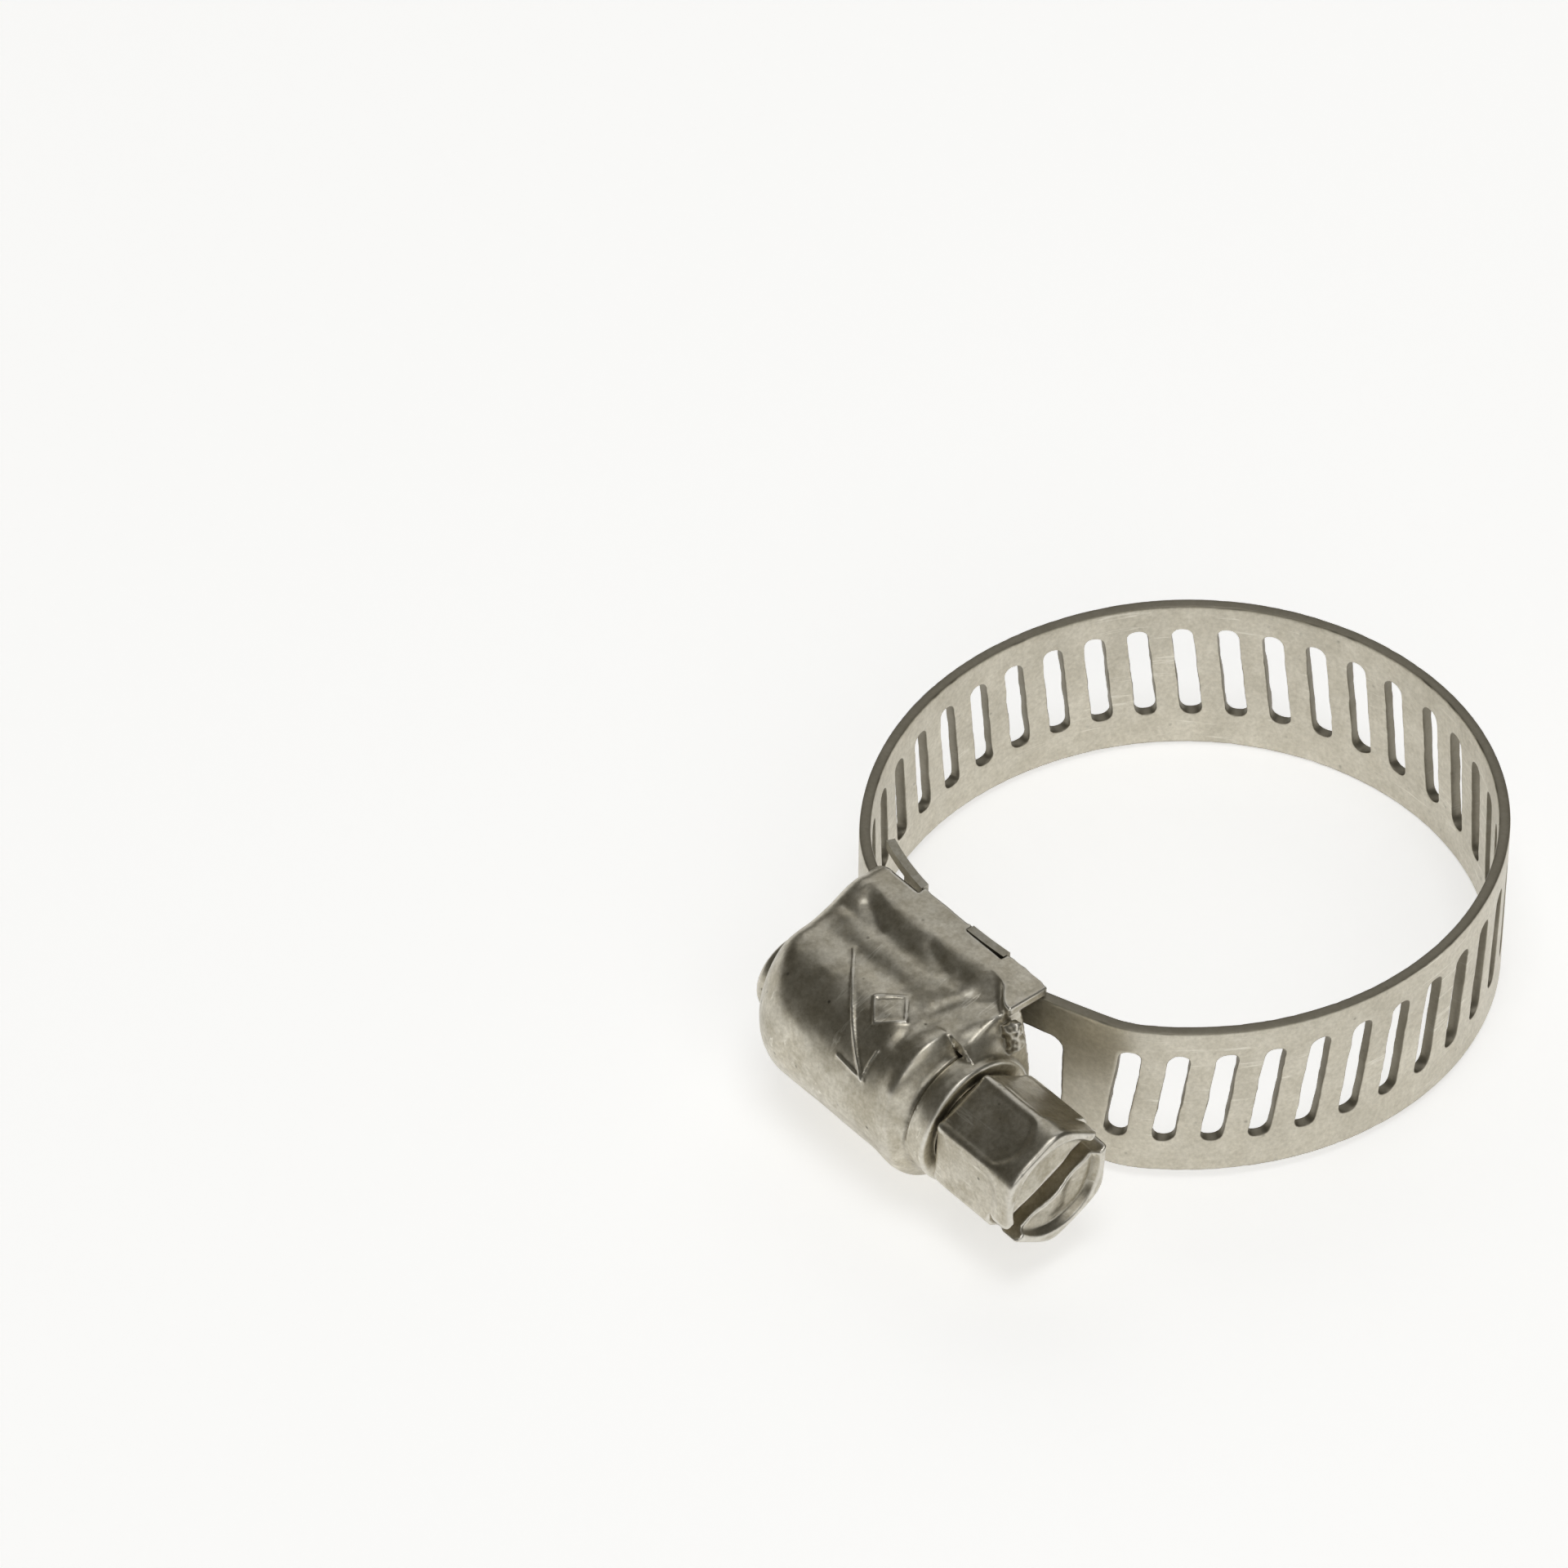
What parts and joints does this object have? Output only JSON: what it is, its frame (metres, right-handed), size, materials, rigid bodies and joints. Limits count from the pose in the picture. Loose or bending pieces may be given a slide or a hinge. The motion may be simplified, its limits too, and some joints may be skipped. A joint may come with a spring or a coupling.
{
  "type": "worm-drive hose clamp",
  "caption": "Small worm-drive hose clamp: a perforated steel band closed round a hose by a slotted hex-head screw held in a pressed housing.",
  "frame": {"origin": "centre of the round part of the band's bore, at the middle of the band's width", "axes": "+Z along the hose, +X along the screw towards its hex head, -Y from the bore towards the housing"},
  "size_m": [0.0266, 0.0338, 0.0092],
  "materials": {
    "housing_steel": "drawn sheet, bright with handling scratches",
    "saddle_steel": "sheared sheet, dull",
    "band_steel": "rolled strip, satin",
    "screw_steel": "cold-headed, semi-bright"
  },
  "bodies": {
    "root": {"housing": "housing_steel", "saddle": "saddle_steel", "band_fixed_half": "band_steel"},
    "free_band": {"band_free_half": "band_steel"},
    "screw": {"worm_screw": "screw_steel"}
  },
  "joints": [
    {"name": "screw_turn", "type": "hinge", "parent": "root", "child": "screw", "pos_m": [0, -0.01704, 0], "axis": [-1, 0, 0], "range_deg": [0, 540]},
    {"name": "band_flex", "type": "hinge", "parent": "root", "child": "free_band", "pos_m": [-0.00027, 0.01285, 0], "axis": [0, 0, 1], "range_deg": [0, 6.42]}
  ],
  "couplings": [
    {"joint": "band_flex", "follows": "screw_turn", "ratio": 0.011879}
  ]
}
